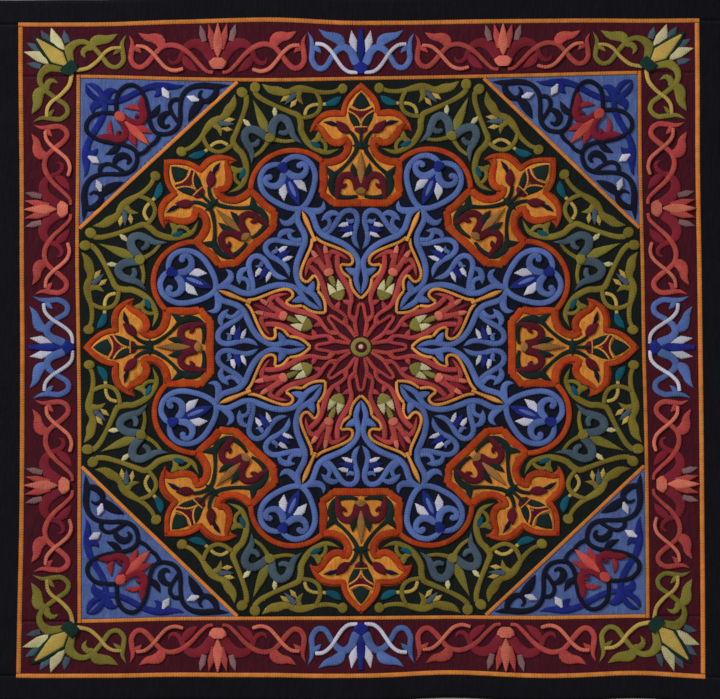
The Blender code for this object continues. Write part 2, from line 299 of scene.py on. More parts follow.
# The blue straps and palmettes between two arms of the star, in the cartouche frame
VALLEY_STRAPS = (
    Strip("valley_strap", "sky", 1, (11, 12, 12, 12, 12, 12, 12, 12, 12, 12, 11, 11, 12, 11, 9, 0),
          ((148, 361), (134, 354), (121, 342), (114, 323), (107, 304), (92, 288), (70, 278), (46, 267),
           (28, 254), (16, 240), (8, 226), (6, 210), (10, 192), (12, 174), (7, 153), (0, 134))),
    Strip("valley_barb", "sky", 1, (16, 15, 10, 0), ((9, 190), (19, 193), (29, 198), (40, 204))),
    Strip("palmette_loop", "sky", 0, (0, 9, 11, 11, 11, 11, 11, 11, 11, 11, 11, 11, 11, 11),
          ((2, 251), (13, 267), (17, 283), (15, 301), (10, 318), (9, 332), (13, 345), (24, 352),
           (38, 350), (49, 341), (59, 325), (70, 308), (82, 295), (97, 288))),
    Strip("palmette_leaf", "sky", 1, (7, 12, 12, 0), ((54, 341), (69, 346), (83, 339), (99, 324))),
    Strip("palmette_spur", "sky", 1, (9, 9, 9, 10), ((84, 335), (77, 323), (80, 310), (93, 298))),
    Strip("palmette_hook", "sky", 1, (8, 9, 0), ((16, 326), (29, 323), (37, 333))),
    petal("upper_petal", "lilac", 2, (8, 10, 0), ((32, 317), (42, 315), (58, 311))),
    petal("lower_petal", "lilac", 2, (7, 9, 0), ((22, 293), (34, 289), (49, 282))),
    petal("royal_petal", "royal", 1, (14, 11, 0), ((20, 307), (38, 302), (58, 298))),
)

# The olive vines on the dark field beside a cartouche, in the cartouche frame
FIELD_VINES = (
    Strip("vine", "olive", 0, (12, 12, 11, 11, 12, 14, 14, 14, 14, 12, 9, 0),
          ((264, 664), (250, 649), (231, 637), (205, 624), (176, 611), (154, 600), (148, 580),
           (147, 560), (133, 533), (112, 514), (84, 503), (50, 514))),
    Strip("vine_lower_leaf", "olive", 0, (10, 12, 14, 0),
          ((124, 527), (112, 535), (105, 542), (105, 560))),
    Strip("vine_leaf_back", "olive", 0, (10, 9, 9, 8), ((108, 541), (94, 534), (87, 521), (88, 506))),
    Strip("teal_eye", "teal", 1, (0, 11, 12, 0), ((128, 533), (117, 526), (107, 521), (95, 520))),
    Strip("top_vine", "olive", 0, (10, 10, 11, 12, 16, 17, 14),
          ((52, 668), (66, 662), (86, 660), (107, 662), (130, 668), (154, 671), (178, 664))),
    Strip("top_leaf", "olive", 0, (12, 18, 21, 14, 0),
          ((172, 664), (190, 662), (206, 666), (224, 670), (245, 685))),
    Strip("top_thorn", "olive", 0, (14, 12, 0), ((151, 665), (154, 648), (141, 628))),
    Strip("ring_vine", "olive", 1, (9, 10, 10, 10, 10, 10),
          ((112, 662), (103, 645), (100, 627), (106, 609), (122, 598), (146, 594))),
    Strip("yellow_vine", "straw", 0, (8, 8, 8, 8, 8),
          ((82, 630), (98, 629), (118, 628), (133, 619), (139, 601))),
    Strip("teal_leaf", "teal", 1, (9, 16, 15, 0), ((87, 629), (76, 631), (64, 636), (47, 650))),
    petal("straw_petal_a", "straw", 1, (2, 12, 0), ((175, 654), (186, 647), (200, 636))),
    petal("straw_petal_b", "straw", 1, (2, 12, 0), ((157, 644), (165, 634), (176, 620))),
    petal("slate_petal", "slate", 1, (12, 12, 0), ((162, 658), (174, 645), (190, 628))),
)

# The round knobs at the ends of those vines, in the cartouche frame
VINE_KNOBS = (
    disc("knob_outer", "olive", 1, (261, 675), 13),
    disc("knob_inner", "olive", 1, (45, 669), 12),
)

# The blue heart in a lobe of the medallion, in the lobe frame
LOBE_HEARTS = (
    Strip("heart_loop", "sky", 1, (9, 12, 12, 12, 12, 12, 12, 12, 12, 12, 12),
          ((-1, 512), (-17, 518), (-37, 518), (-56, 506), (-67, 485), (-68, 463), (-61, 443),
           (-47, 422), (-31, 404), (-15, 392), (1, 386))),
    Strip("hook", "sky", 1, (6, 14, 14, 10, 0),
          ((-15, 380), (-28, 368), (-42, 364), (-53, 369), (-59, 385))),
    petal("knot", "royal", 3, (14, 23, 17, 12), ((0, 515), (0, 507), (0, 498), (0, 488))),
    Strip("spear", "royal", 1, (8, 17, 22, 17, 0), ((0, 494), (0, 470), (0, 446), (0, 422), (0, 393))),
    Strip("spear_heart", "sky", 3, (0, 8, 9, 7, 0),
          ((0, 468), (0, 455), (0, 442), (0, 428), (0, 414))),
    petal("lobe_petal", "lilac", 1, (13, 18, 0), ((-17, 463), (-22, 449), (-31, 420))),
    Strip("scroll", "sky", 2, (12, 15, 16, 15, 13, 12, 13, 15),
          ((-4, 492), (-12, 475), (-26, 465), (-42, 467), (-53, 479), (-50, 491), (-41, 493),
           (-38, 484)), 0.5),
)

# The straps, bud, flower and lance of an arm of the star, in the lobe frame
STAR_ARMS = (
    Strip("lance", "gold", 5, (9, 8, 9, 12, 10, 0),
          ((0, 294), (0, 305), (0, 320), (0, 339), (0, 360), (0, 381)), 0.0),
    Strip("arm_root", "rose", 2, (9, 10, 10, 11, 12, 14, 15, 15, 15, 15, 14, 13),
          ((11, 64), (8, 73), (5, 83), (8, 94), (16, 108), (25, 121), (29, 138), (29, 158), (26, 180),
           (25, 203), (29, 222), (37, 241))),
    Strip("arm_head", "rose", 1, (0, 7, 10, 13, 14, 13),
          ((-59, 216), (-49, 233), (-39, 245), (-29, 253), (-20, 252), (-14, 240))),
    Strip("arm_thorn", "rose", 1, (15, 13, 0), ((22, 113), (13, 119), (2, 131))),
    petal("arm_dark_petal", "rose_dark", 0, (12, 14, 0), ((0, 236), (0, 262), (0, 293))),
    Strip("flower_limb", "rose_light", 2, (18, 17, 15, 14, 12),
          ((-4, 210), (-7, 222), (-10, 236), (-12, 249), (-14, 260))),
    petal("flower_cup", "salmon", 4, (18, 26, 25, 14), ((0, 199), (0, 204), (0, 211), (0, 217))),
    petal("flower_tip", "salmon", 4, (13, 12, 0), ((-13, 255), (-15, 264), (-18, 280))),
    petal("bud_cup", "moss", 3, (37, 37, 27, 8), ((0, 154), (0, 147), (0, 138), (0, 130))),
    petal("bud_tooth", "cream", 2, (21, 15, 0), ((-10, 153), (-11, 165), (-14, 184))),
    petal("bud_leaf", "moss", 2, (4, 15, 13, 0), ((0, 207), (0, 193), (0, 179), (0, 162))),
)

# The fan on the dark field beyond a lobe, in the lobe frame
FIELD_FANS = (
    petal("fan_petal", "olive_light", 1, (0, 10, 20, 25, 12),
          ((0, 697), (0, 675), (0, 652), (0, 634), (0, 604))),
    Strip("fan_scroll", "slate", 2, (18, 22, 22, 21, 20, 18, 12, 0),
          ((-7, 587), (-13, 604), (-25, 620), (-43, 626), (-56, 613), (-57, 592), (-56, 568), (-68, 540))),
    Strip("fan_curl", "slate", 2, (13, 15, 14, 9), ((-54, 590), (-45, 585), (-35, 586), (-26, 594))),
    petal("fan_cream", "cream", 1, (8, 14, 0), ((-34, 632), (-37, 644), (-43, 661))),
    Strip("fan_base", "olive", 1, (9, 10, 11, 14), ((-56, 557), (-34, 563), (-17, 573), (-2, 585))),
    Strip("fan_cup", "olive_light", 4, (12, 29, 20), ((0, 600), (0, 588), (0, 575))),
)

# The rose loops round the star's middle, in the cartouche frame
STAR_RAYS = (
    Strip("loop", "rose", 1, (9, 9, 9, 9, 10, 11, 11, 10, 8),
          ((0, 113), (6, 106), (8, 96), (9.5, 86), (12, 76), (14.5, 66), (14, 54), (11.5, 42), (8.5, 27))),
    Strip("loop_web", "rose", 1, (11, 12, 10), ((12, 74), (19, 74), (27, 81))),
)

# The discs in the middle of the star
CENTRE_RING = (
    disc("ring_green", "moss", 0, (0, 0), 25.5),
    disc("ring_wine", "wine", 2, (0, 0), 14.5),
    disc("ring_dot", "cream", 4, (0, 0), 6.5),
)

# The blue knot and its lotus in the middle of a side of the band
BLUE_KNOT = (
    Strip("knot_strand", "sky_deep", 1, (0, 10, 14, 15, 15, 15, 14, 15, 18, 20, 22, 22),
          ((132, 47), (122, 25), (120, 0), (121, -22), (108, -43), (88, -41), (71, -14), (56, 4),
           (39, 9), (24, -3), (17, -20), (10, -36))),
    Strip("knot_spur", "sky_deep", 1, (14, 13, 0), ((118, 9), (107, 3), (97, -8))),
    Strip("knot_leaf", "sky_deep", 1, (16, 28, 23, 14, 0),
          ((44, 12), (54, 28), (69, 35), (86, 40), (106, 54))),
    Strip("pale_strand", "lilac", 2, (10, 10, 10, 10, 10, 10, 9),
          ((113, 17), (92, 14), (74, -1), (60, -22), (46, -42), (30, -54), (8, -56))),
    petal("side_petal", "lilac", 0, (8, 22, 0), ((14, -4), (19, 23), (24, 55))),
    petal("mid_petal", "royal", 1, (12, 14, 18, 23, 15, 6),
          ((0, 57), (0, 39), (0, 21), (0, 3), (0, -15), (0, -32))),
    petal("lotus_cup", "royal", 3, (12, 38, 34, 8), ((0, -30), (0, -40), (0, -49), (0, -59))),
)

# The rose knot on one side of a rose lotus of the band, and half of that lotus
ROSE_KNOT = (
    Strip("knot_strand", "rose_light", 1, (0, 10, 14, 14, 14, 14, 14, 13, 13, 14, 13, 12, 11, 10, 9),
          ((134, 43), (143, 21), (141, -4), (140, -24), (150, -40), (166, -43), (182, -30), (200, -7),
           (217, 9), (240, 14), (263, 7), (286, -10), (306, -32), (326, -51), (342, -54))),
    Strip("knot_spur", "rose_light", 1, (14, 13, 0), ((145, 8), (156, 3), (167, -8))),
    Strip("knot_leaf", "rose_light", 1, (18, 30, 24, 15, 0),
          ((216, 8), (210, 25), (196, 32), (179, 34), (157, 47))),
    Strip("salmon_strand", "salmon", 3, (9, 10, 10, 10, 10, 10, 9),
          ((151, 12), (173, 9), (193, -7), (210, -28), (227, -45), (247, -51), (268, -46))),
    Strip("sepal", "rose_dark", 0, (22, 29, 29, 28, 24, 19, 15, 13, 11, 0),
          ((343, -28), (333, -8), (318, 9), (299, 17), (280, 12), (268, -4), (261, -20), (249, -31),
           (236, -29), (231, -14))),
    Strip("sepal_foot", "rose_dark", 0, (8, 22, 18, 0), ((267, -12), (276, -28), (290, -42), (306, -53))),
    petal("mid_petal", "salmon", 4, (0, 9, 17, 26, 28, 14, 0),
          ((353, 71), (353, 56), (353, 41), (353, 25), (353, 9), (353, -6), (353, -22))),
    petal("red_petal", "rose_light", 3, (14, 19, 0), ((344, 2), (337, 36), (330, 67))),
    petal("grey_petal", "mauve", 1, (14, 17, 0), ((320, 22), (315, 42), (309, 65))),
    petal("lotus_cup", "salmon", 4, (22, 46, 40, 24), ((353, -19), (353, -28), (353, -37), (353, -46))),
)

# The green knot beside a corner of the band
GREEN_KNOT = (
    Strip("knot_strand", "olive_light", 1, (0, 10, 13, 13, 13, 13, 13, 13, 14, 18, 25, 30, 30),
          ((577, 45), (588, 20), (586, -5), (585, -27), (600, -44), (620, -40), (637, -17), (658, 9),
           (680, 24), (703, 20), (719, 2), (721, -20), (718, -42))),
    Strip("knot_spur", "olive_light", 1, (12, 11, 0), ((590, 4), (601, -3), (612, -13))),
    Strip("knot_leaf", "olive_light", 1, (16, 29, 26, 17, 0),
          ((664, 12), (652, 27), (638, 30), (622, 32), (597, 46))),
    Strip("knot_hook", "olive_light", 1, (14, 17, 12, 0), ((660, 6), (675, 6), (684, -6), (676, -23))),
    Strip("straw_strand", "straw", 2, (9, 10, 10, 10, 11, 11, 11),
          ((590, 8), (613, 6), (630, -5), (642, -21), (655, -35), (674, -49), (702, -55))),
)

# The lotus in a corner of the band, from the middle of the quilt
CORNER_LOTUS = (
    petal("yellow_petal", "straw", 3, (0, 16, 30, 41, 12),
          ((805, 805), (785, 785), (766, 766), (746, 746), (727, 727))),
    petal("cream_petal", "cream", 1, (0, 17, 31, 30, 16),
          ((763, 831), (757, 811), (750, 791), (743, 773), (735, 755))),
    petal("slate_petal", "slate", 0, (0, 19, 18), ((789, 824), (779, 808), (766, 790))),
    petal("slate_outer", "slate", 0, (0, 17, 16), ((731, 824), (728, 808), (722, 789))),
    petal("green_petal", "forest_light", 2, (0, 30, 46, 56, 24),
          ((809, 809), (788, 788), (768, 768), (748, 748), (728, 728))),
    petal("corner_cup", "forest_light", 4, (40, 46, 30), ((727, 727), (716, 716), (705, 705))),
)

# The scrolls and the small lotus of a blue corner panel, inwards from its corner
SPANDREL = (
    Strip("royal_vine", "royal", 1, (0, 12, 13, 12, 13, 14, 14, 14, 14, 15, 18, 16, 10, 0),
          ((13, 13), (19, 33), (32, 47), (50, 56), (68, 60), (90, 57), (111, 49), (134, 36), (158, 23),
           (180, 16), (205, 15), (226, 16), (242, 15), (256, 10))),
    Strip("royal_leaf", "royal", 1, (12, 21, 16, 0), ((58, 62), (62, 46), (73, 32), (92, 30))),
    Strip("royal_hook", "royal", 1, (16, 14, 0), ((192, 18), (192, 34), (179, 44))),
    Strip("loop", "ink", 2, (9, 10, 10, 10, 10, 10, 10, 10, 10, 10, 10),
          ((88, 88), (88, 60), (94, 35), (111, 18), (131, 15), (148, 28), (160, 54), (166, 84),
           (171, 113), (181, 132), (194, 141))),
    Strip("link", "ink", 2, (10, 9, 9), ((195, 139), (186, 158), (171, 171))),
    Strip("scroll_vine", "ink", 1, (10, 10, 11, 11, 10, 10, 11, 12, 14, 15, 12, 0),
          ((188, 138), (207, 140), (228, 133), (241, 117), (245, 95), (245, 70), (248, 45), (257, 28),
           (274, 16), (300, 11), (330, 13), (366, 10))),
    Strip("tear", "ink", 1, (10, 10, 9, 9, 9),
          ((248, 50), (229, 50), (219, 65), (224, 84), (242, 112))),
    Strip("small_scroll", "ink", 1, (8, 14, 17, 15, 11, 5),
          ((222, 82), (206, 89), (197, 103), (200, 116), (211, 121), (219, 114))),
    Strip("end_scroll", "ink", 1, (12, 14, 16, 14, 11, 8, 4),
          ((334, 14), (332, 31), (322, 46), (307, 53), (295, 46), (292, 33), (299, 24))),
    Strip("end_leaf", "ink", 1, (12, 22, 16, 0), ((300, 54), (286, 67), (275, 85), (264, 108))),
    Strip("thorn", "ink", 1, (15, 15, 0), ((168, 93), (183, 85), (196, 61))),
    Strip("lotus_scroll", "maroon", 3, (8, 13, 16, 17, 17, 15, 0),
          ((106, 92), (117, 104), (134, 112), (151, 107), (156, 90), (151, 70), (150, 38))),
    petal("lotus_leaf", "crimson", 2, (10, 13, 0), ((150, 78), (130, 72), (104, 75))),
    Strip("lotus_curl", "maroon", 3, (10, 8, 3), ((150, 96), (140, 92), (134, 100))),
    petal("lotus_mid", "coral", 3, (6, 22, 18, 0), ((110, 110), (128, 128), (146, 146), (172, 172))),
    petal("lotus_side", "crimson", 2, (8, 19, 0), ((128, 118), (150, 127), (178, 139))),
    Strip("lotus_cup", "coral", 4, (10, 24, 22, 8), ((87, 87), (93, 93), (100, 100), (108, 108))),
    petal("diamond_a", "lilac", 3, (5, 19, 0), ((201, 20), (208, 33), (219, 50))),
    petal("diamond_b", "lilac", 3, (3, 17, 5), ((261, 41), (276, 47), (291, 51))),
)

# Edges of the flat cuts between the axis of a cartouche and the axis of a lobe, 22.5 degrees on:
# the distance across from the cartouche axis, the distance out along it, and whether the cut
# turns sharply there
MEDALLION_EDGE = (
    (0, 684, True), (19, 667, False), (38, 642, False), (49, 612, True), (72, 614, False),
    (98, 606, False), (116, 586, False), (127, 558, True), (107, 561, False), (92, 546, False),
    (80, 528, False), (62, 521, False), (45, 523, True), (42, 511, False), (54, 496, False),
    (75, 488, False),
)
NAVY_EDGE = (
    (0, 366, True), (36, 366, False), (68, 364, True), (80, 378, False), (102, 394, True),
    (94, 420, False), (96, 447, False), (100, 468, True),
)
CARTOUCHE_EDGE = (
    (0, 668, True), (14, 652, False), (30, 630, False), (38, 603, True), (56, 601, False),
    (78, 601, False), (98, 591, False), (112, 578, True), (95, 567, False), (84, 549, False),
    (68, 534, False), (50, 531, False), (34, 545, True), (26, 526, False), (27, 506, False),
    (38, 488, False), (56, 476, False), (92, 472, True), (88, 447, False), (86, 420, False),
    (94, 398, True), (76, 382, False), (66, 374, True), (30, 377, False), (0, 377, True),
)
STAR_EDGE = (
    (0, 124, True), (12, 136, False), (21, 149, False), (25, 162, False), (27, 177, True),
    (36, 184, False), (45, 192, False), (50, 203, False), (49, 213, True), (38, 211, False),
    (27, 211, False), (21, 217, False), (21, 227, False), (28, 238, False), (44, 248, False),
    (67, 258, False), (96, 270, False), (113, 283, True), (116, 298, False), (126, 324, False),
    (147, 355, True),
)

# Steps of the curve from one row of those tables to the next
STEPS_PER_CURVE = 3

# The rows of the star's edge at which one length of piping ends and the next starts
PIPING_CORNERS = (0, 4, 8, 17)
PIPING_WIDTH = 8

# The lobes of the medallion and of the navy ground: how far out their middle is, and their radii
SECTORS = 8
LOBE_DISTANCE = 0.440
MEDALLION_LOBE = 0.110
NAVY_LOBE = 0.102
LOBE_STEPS = 12

# The strip round a lobe, in the lobe frame and in millimetres: its middle line is an arc between
# two angles
LOBE_OUTLINE_RADIUS = 103
LOBE_OUTLINE_REACH = (157, 89)
LOBE_OUTLINE_STEPS = 8
LOBE_OUTLINE_WIDTH = 14

# A strip's section from one turned edge to the other: place across, share of the fold's height
# and share of the swelling
SECTION = (
    (-1.0, 0, 0),
    (-0.97, 1, 0),
    (-0.7, 1, 0.72),
    (0, 1, 1),
    (0.7, 1, 0.72),
    (0.97, 1, 0),
    (1.0, 0, 0),
)

# How closely a route is walked, and where a strip has its rings of points: on a round end, as
# shares of it, and between the ends, how far apart, at least how many, and the length under which
# there are none
STEPS_PER_LEG = 12
CAP_STOPS = (0.0, 0.05, 0.2, 0.45, 0.75)
STEP = 0.005
LEAST_STEPS = 3
SHORTEST_MIDDLE = 0.00005

# The height of a strip's fold and of each layer under it, the width at which it starts to thin
# out, and its swelling as a share of its width and at most
FOLD_HEIGHT = 0.0011
LAYER_HEIGHT = 0.0009
TAPER = 0.005
SWELL_SHARE = 0.095
MOST_SWELL = 0.0012

# How far the ends of the long seam strips are rounded, as a share of their width
SEAM_STRIP_ENDS = 0.1


def curve_through(before, start, end, after, share):
    """A smooth curve between start and end, at that share of the way."""
    return 0.5 * (
        2 * start
        + (end - before) * share
        + (2 * before - 5 * start + 4 * end - after) * share**2
        + (3 * start - before - 3 * end + after) * share**3
    )


def wander(side, seam, along):
    """How far that seam lies off its straight line at that place along it, in metres."""
    row = SEAM_WANDER[side][seam]
    last = len(row) - 1
    place = min(max(along / WANDER_SPACING + last / 2, 0.0), last)
    first = min(int(place), last - 1)
    before, after = row[max(first - 1, 0)], row[min(first + 2, last)]
    return MILLIMETRE * curve_through(before, row[first], row[first + 1], after, place - first)


def side_shift(low_side, high_side, across, along):
    """The shift of a place towards the seams of its own side."""
    side = high_side if across > 0 else low_side
    distance = abs(across)
    inner = wander(side, "inner", along)
    if distance <= INNER_SEAM:
        return inner * (distance / INNER_SEAM) ** 2
    share = min((distance - INNER_SEAM) / (OUTER_SEAM - INNER_SEAM), 1.0)
    return inner + (wander(side, "outer", along) - inner) * share


def unevenly_sewn(x, y):
    """Where a place of the straight pattern ends up in the sewn cloth."""
    return x + side_shift("left", "right", x, y), y + side_shift("bottom", "top", y, x)


def outline_centre():
    """The middle of the sewn quilt's outline, which the origin is moved to."""
    corners = []
    for step in range(-STATIONS_PER_HALF, STATIONS_PER_HALF + 1):
        along = step * STATION
        for edge in (-QUILT_HALF, QUILT_HALF):
            corners += [unevenly_sewn(along, edge), unevenly_sewn(edge, along)]
    xs, ys = [x for x, _ in corners], [y for _, y in corners]
    return (min(xs) + max(xs)) / 2, (min(ys) + max(ys)) / 2


CENTRE_X, CENTRE_Y = outline_centre()


def edge_share(distance):
    """0 where the quilt lies flat, rising smoothly to 1 at its edge."""
    share = min(max((distance - QUILT_HALF + RIPPLE_REACH) / RIPPLE_REACH, 0.0), 1.0)
    return share * share * (3 - 2 * share)


def ripple(side, along):
    """0 to 1 along a side: uneven soft waves."""
    turn = 2 * math.pi * along / RIPPLES[side]["length"] + RIPPLES[side]["start"]
    height = 1 - RIPPLE_VARIATION + RIPPLE_VARIATION * math.sin(RIPPLE_SLOWNESS * turn + 1.0)
    return (0.5 + 0.5 * math.sin(turn)) * height


def lift(x, y):
    """Height of the underside over the surface that the quilt lies on. In a corner it is the mean
    of the ripples of its two sides."""
    x_side = "right" if x > 0 else "left"
    y_side = "top" if y > 0 else "bottom"
    x_share, y_share = edge_share(abs(x)), edge_share(abs(y))
    waves = x_share * ripple(x_side, y) + y_share * ripple(y_side, x)
    return RIPPLE_HEIGHT * waves * (1 - 0.5 * x_share * y_share)


def swell(x, y):
    """How far the upper face swells between its rows of stitches."""
    coarse = noise.noise(Vector((x, y, 0.0)) / SWELL_SIZE)
    fine = noise.noise(Vector((x, y, FINE_SWELL_START)) / FINE_SWELL_SIZE)
    return SWELL_HEIGHT * (0.5 + 0.5 * coarse + FINE_SWELL_SHARE * fine)


def laid(x, y, height, swollen=True):
    """A place of the straight pattern at a height over the underside, in the part's own frame."""
    sewn_x, sewn_y = unevenly_sewn(x, y)
    rise = swell(x, y) if swollen else 0.0
    return sewn_x - CENTRE_X, sewn_y - CENTRE_Y, height + lift(x, y) + rise


def linear(level):
    """A display level of 0 to 255 as the light that it stands for."""
    share = level / 255
    return share / 12.92 if share <= 0.04045 else ((share + 0.055) / 1.055) ** 2.4


def colour_of(dye, share):
    """A dye at a share of its light."""
    return (*(min(linear(level) * share, 1.0) for level in DYES[dye]), 1.0)


def add_node(tree, kind, inputs=(), **settings):
    """A shader node with its settings, and its inputs as values or as sockets to link from."""
    node = tree.nodes.new(kind)
    for name, value in settings.items():
        setattr(node, name, value)
    for name, value in dict(inputs).items():
        socket = node.inputs[name]
        if isinstance(value, bpy.types.NodeSocket):
            tree.links.new(value, socket)
        else:
            socket.default_value = value
    return node


def calculate(tree, operation, *values):
    """The result of one Math node."""
    return add_node(tree, "ShaderNodeMath", dict(enumerate(values)), operation=operation).outputs[0]


def plus(tree, base, share, value):
    """A base with a share of a value added to it."""
    return calculate(tree, "MULTIPLY_ADD", value, share, base)


def threads(tree, place, direction):
    """Height of the threads that lie side by side in one direction."""
    inputs = {"Vector": place, "Scale": WEAVE_SCALE, "Distortion": WEAVE_DISTORTION}
    return add_node(tree, "ShaderNodeTexWave", inputs, bands_direction=direction).outputs["Fac"]


def woven(tree, place):
    """Height of a plain weave: warp and weft threads that cross."""
    return calculate(tree, "MULTIPLY", threads(tree, place, "X"), threads(tree, place, "Y"))


def smooth_share(tree, value, none_at, full_at):
    """0 to 1, smoothly, as a value goes from none_at to full_at."""
    inputs = {"Value": value, "From Min": none_at, "From Max": full_at}
    return add_node(tree, "ShaderNodeMapRange", inputs, interpolation_type="SMOOTHSTEP").outputs[0]


def cloudy(tree, place, patches):
    """Soft uneven patches, from 0 to 1."""
    inputs = {
        "Vector": place,
        "Scale": patches.scale,
        "Detail": patches.detail,
        "Roughness": patches.roughness,
    }
    return add_node(tree, "ShaderNodeTexNoise", inputs).outputs["Fac"]


def puckers_and_hem_shadow(tree, place):
    """The puckers that the stitches pull across a strip, deepest at its edges, and where the painted
    shade along its turned edges falls, each from 0 to 1."""
    seam = add_node(tree, "ShaderNodeUVMap", uv_map=STRIP_MAP).outputs["UV"]
    parts = add_node(tree, "ShaderNodeSeparateXYZ", {"Vector": seam})
    along, inwards = parts.outputs["X"], parts.outputs["Y"]
    uneven = plus(tree, along, PUCKER_DRIFT, cloudy(tree, place, PUCKER_SHIFTS))
    slanted = plus(tree, uneven, PUCKER_SLANT, inwards)
    wave = calculate(tree, "SINE", calculate(tree, "MULTIPLY", slanted, 2 * math.pi / PUCKER_PITCH))
    at_edge = smooth_share(tree, inwards, PUCKER_REACH, 0.0)
    depth = plus(tree, PUCKER_INNER_DEPTH, 1 - PUCKER_INNER_DEPTH, at_edge)
    patchy = smooth_share(tree, cloudy(tree, place, PUCKER_DEPTHS), *PUCKER_DEPTH_RISE)
    depth = calculate(tree, "MULTIPLY", depth, patchy)
    puckers = calculate(tree, "MULTIPLY", smooth_share(tree, wave, *PUCKER_RISE), depth)
    return puckers, smooth_share(tree, inwards, HEM_SHADOW_REACH, HEM_SHADOW_FULL)


def upright_folds(tree, place):
    """Soft upright folds in a ground cloth, from 0 to 1, where the stitches draw it together. They set
    both the relief and the painted highlight on the folds' ridges.
    """
    inputs = {"Vector": place, "Scale": GROUND_FOLD_STRETCH}
    narrowed = add_node(tree, "ShaderNodeMapping", inputs).outputs[0]
    return smooth_share(tree, cloudy(tree, narrowed, GROUND_FOLDS), *GROUND_FOLD_RISE)


def varied(tree, place, colour):
    """The dye taken up unevenly: its hue drifts a little either way."""
    hue = plus(tree, 0.5 - HUE_DRIFT / 2, HUE_DRIFT, cloudy(tree, place, HUE_PATCHES))
    return add_node(tree, "ShaderNodeHueSaturation", {"Hue": hue, "Color": colour}).outputs[0]


def blended(tree, share, first, second):
    """A colour between two, at that share of the way."""
    node = add_node(tree, "ShaderNodeMix", {0: share}, data_type="RGBA")
    sockets = [socket for socket in node.inputs if socket.type == "RGBA"]
    for socket, colour in zip(sockets, (first, second)):
        socket.default_value = colour
    return [socket for socket in node.outputs if socket.type == "RGBA"][0]


def bumped(tree, height, relief, under=None):
    """The surface's direction with a relief laid over it."""
    inputs = {"Height": height, "Distance": relief.depth, "Strength": relief.strength}
    if under is not None:
        inputs["Normal"] = under
    return add_node(tree, "ShaderNodeBump", inputs).outputs["Normal"]


def cotton(dye, hemmed):
    """Plain-weave cotton of one dye: uneven colour, crossing threads, soft creases and a faint
    nap. Hemmed strips have the puckers of their stitches, with painted shade in their creases and
    along the turned edges, and grounds have upright folds with a painted highlight on their ridges."""
    name = f"{dye}_cotton" + ("_strip" if hemmed else "")
    if name in bpy.data.materials:
        return bpy.data.materials[name]
    material = bpy.data.materials.new(name)
    material.use_nodes = True
    tree = material.node_tree
    shader = tree.nodes["Principled BSDF"]
    place = add_node(tree, "ShaderNodeTexCoord").outputs["Object"]
    weave = woven(tree, place)
    shade = STRIP_SHADE if hemmed else GROUND_SHADE
    shade = plus(tree, shade, PATCH_SHADE, cloudy(tree, place, DYE_PATCHES))
    shade = plus(tree, shade, FLECK_SHADE, cloudy(tree, place, FLECKS))
    shade = plus(tree, shade, WEAVE_SHADE, weave)
    direction = bumped(tree, weave, WEAVE_RELIEF)
    direction = bumped(tree, cloudy(tree, place, CREASES), CREASE_RELIEF, direction)
    if hemmed:
        tone = add_node(tree, "ShaderNodeAttribute", attribute_name=TONE).outputs["Fac"]
        puckers, hem = puckers_and_hem_shadow(tree, place)
        shade = plus(tree, shade, TONE_SHADE, tone)
        # painted shade in the creases of the puckers
        shade = plus(tree, shade, PUCKER_PAINTED_SHADE, puckers)
        # painted shade along the turned edges
        shade = plus(tree, shade, HEM_PAINTED_SHADE, hem)
        sunk = calculate(tree, "MULTIPLY", puckers, -1.0)
        direction = bumped(tree, sunk, PUCKER_RELIEF, direction)
    else:
        folds = upright_folds(tree, place)
        # painted highlight on the ridges of the folds
        shade = plus(tree, shade, FOLD_PAINTED_HIGHLIGHT, folds)
        direction = bumped(tree, folds, FOLD_RELIEF, direction)
    colour = blended(tree, shade, colour_of(dye, DARKEST), colour_of(dye, LIGHTEST))
    tree.links.new(varied(tree, place, colour), shader.inputs["Base Color"])
    tree.links.new(direction, shader.inputs["Normal"])
    for socket, value in COTTON_FINISH.items():
        shader.inputs[socket].default_value = value
    return material


def curve_at(values, place):
    """A smooth curve through a row of values, at a place counted in steps of the row."""
    first = min(int(place), len(values) - 2)
    start, end = values[first], values[first + 1]
    before = values[first - 1] if first else 2 * start - end
    after = values[first + 2] if first + 2 < len(values) else 2 * end - start
    return curve_through(before, start, end, after, place - first)


def straight_at(values, place):
    """Straight lines through a row of values, at a place counted in steps of the row."""
    first = min(int(place), len(values) - 2)
    return values[first] + (values[first + 1] - values[first]) * (place - first)


def walked(route):
    """Close places along a strip's route, and how far along it each one is."""
    points = [Vector(place) * MILLIMETRE for place in route]
    steps = (len(points) - 1) * STEPS_PER_LEG
    trail = [curve_at(points, step / STEPS_PER_LEG) for step in range(steps + 1)]
    lengths = [0.0]
    for start, end in zip(trail, trail[1:]):
        lengths.append(lengths[-1] + (end - start).length)
    return trail, lengths


def stops(total, first_cap, last_cap, corners):
    """How far along a strip its rings of points are: closer together on a round end, and one on
    each corner of a kite."""
    middle = total - first_cap - last_cap
    count = max(round(middle / STEP), LEAST_STEPS) if middle > SHORTEST_MIDDLE else 0
    count = math.ceil(count / corners) * corners
    places = [first_cap * share for share in CAP_STOPS] if first_cap else []
    places += [first_cap + middle * k / max(count, 1) for k in range(count + 1)]
    places += [total - last_cap * share for share in reversed(CAP_STOPS)] if last_cap else []
    return places


